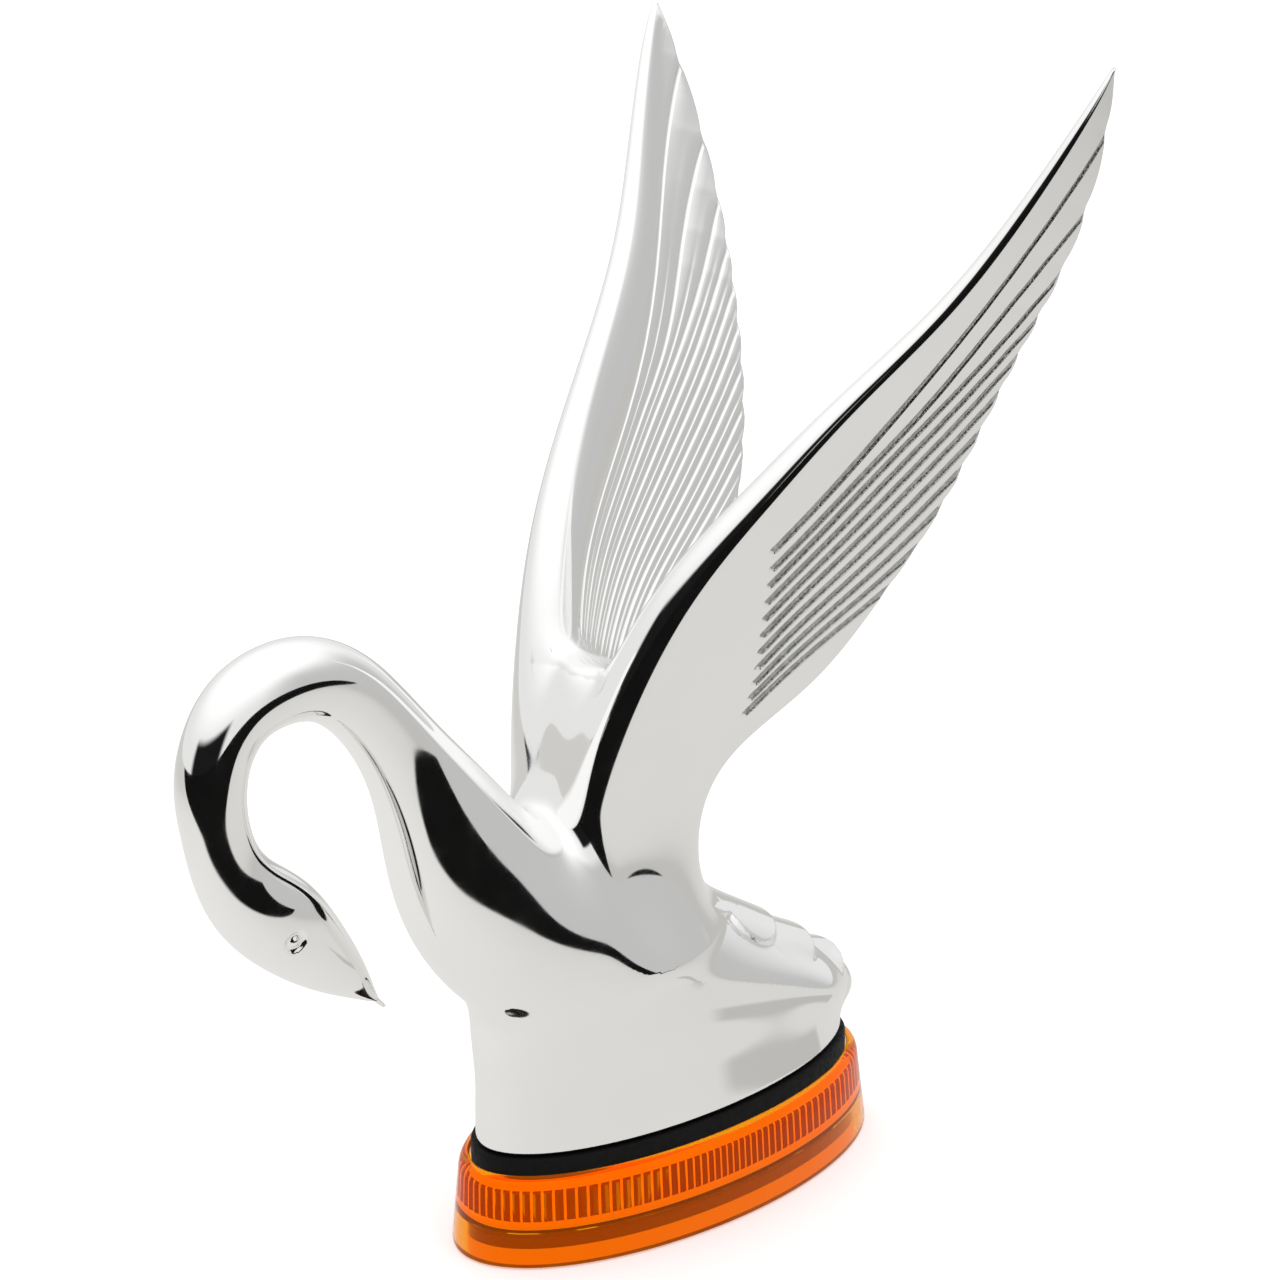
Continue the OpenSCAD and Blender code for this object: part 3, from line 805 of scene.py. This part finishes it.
# Lit and shaded copies of the amber: the flute valleys get a deep-red copy as painted shade, the flute ridges
# a bright copy with painted glow
lens.data.materials.append(make_amber("amber_valley_painted_shade", (0.42, 0.004, 0.0), (0.55, 0.012, 0.0), 0.3, 0.08))
lens.data.materials.append(make_amber("amber_ridge_painted_glow", (1.0, 0.36, 0.0), (1.0, 0.44, 0.0), 0.2, 0.55))
band = np.repeat(np.arange(len(lens_profile)), FLUTES * PER_FLUTE)
part = np.tile(np.arange(FLUTES * PER_FLUTE) % PER_FLUTE, len(lens_profile))
# Index 1 puts the painted shade on the flute valleys; index 2 puts the bright painted glow on the flute
# ridges, the flange and the band below the flutes
shade = np.where((band >= 14) & (band <= 16), np.where((part == 0) | (part == PER_FLUTE - 1), 2, 1), 0)
shade[(band == 17) | ((band >= 11) & (band <= 13))] = 2
lens.data.polygons.foreach_set("material_index", shade)
# Seen in the chrome, the lens would put an orange patch under the breast
lens.visible_glossy = False
sharp_by_angle(lens, 28)
pts, fs = oval_tube([(0.95, 15.6), (0.95, 19.35), (0.7, 19.8), (-4.0, 19.8), (-4.0, 15.6)], 360)
gasket = new_piece("gasket_oval", pts, fs.tolist(), FINISH["black_rubber"], node="body_gasket")
sharp_by_angle(gasket, 30)

# ---------------------------------------------------------------- camera
AZ, EL, ROLL = 0.699, 0.333, -0.018
DISTANCE, FOCAL, SENSOR = 0.5674, 89.76, 36.0
target = Vector((3.95, 0.0, 107.65)) * MM
back = Vector((math.sin(AZ) * math.cos(EL), math.cos(AZ) * math.cos(EL), math.sin(EL)))
right = Vector((-math.cos(AZ), math.sin(AZ), 0.0))
up = back.cross(right)
cam_x = right * math.cos(ROLL) + up * math.sin(ROLL)
cam_y = up * math.cos(ROLL) - right * math.sin(ROLL)
cam = bpy.data.objects.new("camera", bpy.data.cameras.new("camera"))
bpy.context.scene.collection.objects.link(cam)
rot = Matrix((cam_x, cam_y, back)).transposed().to_4x4()
cam.matrix_world = Matrix.Translation(target + back * DISTANCE) @ rot
cam.data.lens, cam.data.sensor_width = FOCAL, SENSOR
cam.data.clip_start, cam.data.clip_end = 0.01, 50.0
bpy.context.scene.camera = cam


# ---------------------------------------------------------------- stage and light
def chain(nt):
    """Small helpers that add nodes to one tree."""
    def put(v, socket):
        if isinstance(v, (int, float)):
            socket.default_value = v
        else:
            nt.links.new(v, socket)

    def op(kind, a, b=None):
        n = nt.nodes.new("ShaderNodeMath")
        n.operation = kind
        put(a, n.inputs[0])
        if b is not None:
            put(b, n.inputs[1])
        return n.outputs[0]

    def smooth(v, a, b, lo=0.0, hi=1.0):
        n = nt.nodes.new("ShaderNodeMapRange")
        n.interpolation_type = "SMOOTHSTEP"
        for k, x in (("From Min", a), ("From Max", b), ("To Min", lo), ("To Max", hi)):
            n.inputs[k].default_value = x
        nt.links.new(v, n.inputs["Value"])
        return n.outputs["Result"]
    return op, smooth


SA, CA = math.sin(AZ), math.cos(AZ)


def make_floor():
    """Pale floor. In reflections it is a white table that ends towards the viewer, with painted shade: darker
    away from the swan and to one side, and a painted dark patch behind the swan's left side that shows low on
    the pedestal."""
    me = bpy.data.meshes.new("floor")
    s, z = 6.0, -0.0002
    me.from_pydata([(-s, -s, z), (s, -s, z), (s, s, z), (-s, s, z)], [], [(0, 1, 2, 3)])
    m = bpy.data.materials.new("pale_floor")
    m.use_nodes = True
    nt = m.node_tree
    b = nt.nodes["Principled BSDF"]
    b.inputs["Base Color"].default_value = (0.9, 0.9, 0.9, 1)
    b.inputs["Roughness"].default_value = 0.9
    b.inputs["Specular IOR Level"].default_value = 0.0
    b.inputs["Emission Color"].default_value = (1, 1, 1, 1)
    b.inputs["Emission Strength"].default_value = 0.32
    op, smooth = chain(nt)
    geo = nt.nodes.new("ShaderNodeNewGeometry")
    sep = nt.nodes.new("ShaderNodeSeparateXYZ")
    nt.links.new(geo.outputs["Position"], sep.inputs[0])
    x, y, _ = sep.outputs
    near = op("ADD", op("MULTIPLY", x, SA), op("MULTIPLY", y, CA))
    left = op("SUBTRACT", op("MULTIPLY", x, CA), op("MULTIPLY", y, SA))
    on_table = smooth(near, TABLE_NEAR, TABLE_NEAR + 0.012, 1.0, 0.0)
    far = op("SQRT", op("ADD", op("MULTIPLY", x, x), op("MULTIPLY", y, y)))
    # Painted shade seen only in reflections: the table darkens away from the swan and towards the rest
    # camera's right
    tone = op("MULTIPLY", smooth(left, -0.1, 0.2, 0.73, 0.86), smooth(far, 0.1, 0.6, 1.0, 0.76))
    # Painted dark patch, seen only in reflections, that puts a grey reflection low on the pedestal
    turn = op("ARCTAN2", y, x)
    patch = op("MULTIPLY", op("MULTIPLY", smooth(far, 0.060, 0.066), smooth(far, 0.078, 0.086, 1.0, 0.0)),
               op("MULTIPLY", smooth(turn, 2.05, 2.2), smooth(turn, 2.86, 2.90, 1.0, 0.0)))
    tone = op("MULTIPLY", op("MULTIPLY", tone, on_table), op("SUBTRACT", 1.0, op("MULTIPLY", patch, 0.27)))
    em = nt.nodes.new("ShaderNodeEmission")
    em.inputs["Color"].default_value = (1.0, 0.985, 0.955, 1)
    nt.links.new(op("ADD", tone, 0.006), em.inputs["Strength"])
    lp = nt.nodes.new("ShaderNodeLightPath")
    mix = nt.nodes.new("ShaderNodeMixShader")
    nt.links.new(lp.outputs["Is Glossy Ray"], mix.inputs[0])
    nt.links.new(b.outputs[0], mix.inputs[1])
    nt.links.new(em.outputs[0], mix.inputs[2])
    nt.links.new(mix.outputs[0], nt.nodes["Material Output"].inputs["Surface"])
    me.materials.append(m)
    o = bpy.data.objects.new("floor", me)
    bpy.context.scene.collection.objects.link(o)


TABLE_NEAR = 0.18
make_floor()

world = bpy.data.worlds.new("studio")
bpy.context.scene.world = world
world.use_nodes = True
wt = world.node_tree
for n in list(wt.nodes):
    wt.nodes.remove(n)
op, smooth = chain(wt)
tc = wt.nodes.new("ShaderNodeTexCoord")
xyz = wt.nodes.new("ShaderNodeSeparateXYZ")
wt.links.new(tc.outputs["Generated"], xyz.inputs[0])
X, Y, Z = xyz.outputs
# Only reflections and lighting see the dark sector and the shade; the camera sees plain white.
# Azimuth is from the rest camera's side, positive to its right, and is fixed in the world.
toward = op("ADD", op("MULTIPLY", X, SA), op("MULTIPLY", Y, CA))
aside = op("ADD", op("MULTIPLY", X, -CA), op("MULTIPLY", Y, SA))
az = op("ARCTAN2", aside, toward)
el = op("ARCSINE", Z)
D = math.pi / 180
dark = op("MULTIPLY", op("MULTIPLY", smooth(az, -66 * D, -54 * D), smooth(az, 10 * D, 20 * D, 1.0, 0.0)),
          smooth(el, 16 * D, 23 * D, 1.0, 0.0))
shade = op("MULTIPLY", op("MULTIPLY", smooth(az, 42 * D, 70 * D), smooth(az, 120 * D, 150 * D, 1.0, 0.0)),
           smooth(el, 20 * D, 50 * D, 1.0, 0.0))
tone = op("MULTIPLY", smooth(el, 8 * D, 50 * D, 0.84, 1.12), op("SUBTRACT", 1.0, op("MULTIPLY", shade, 0.33)))
light = op("MULTIPLY", tone, op("SUBTRACT", 1.0, op("MULTIPLY", dark, 0.988)))
bg = wt.nodes.new("ShaderNodeBackground")
wt.links.new(light, bg.inputs["Strength"])
bg.inputs["Color"].default_value = (1, 1, 1, 1)
white = wt.nodes.new("ShaderNodeBackground")
white.inputs["Color"].default_value = (1, 1, 1, 1)
white.inputs["Strength"].default_value = 1.0
lp = wt.nodes.new("ShaderNodeLightPath")
mix = wt.nodes.new("ShaderNodeMixShader")
out = wt.nodes.new("ShaderNodeOutputWorld")
wt.links.new(lp.outputs["Is Camera Ray"], mix.inputs[0])
wt.links.new(bg.outputs[0], mix.inputs[1])
wt.links.new(white.outputs[0], mix.inputs[2])
wt.links.new(mix.outputs[0], out.inputs[0])

scene = bpy.context.scene
scene.view_settings.view_transform = "Standard"
scene.view_settings.look = "None"
scene.view_settings.exposure = 0.0
scene.cycles.max_bounces = 16
scene.cycles.transmission_bounces = 12
scene.cycles.glossy_bounces = 6
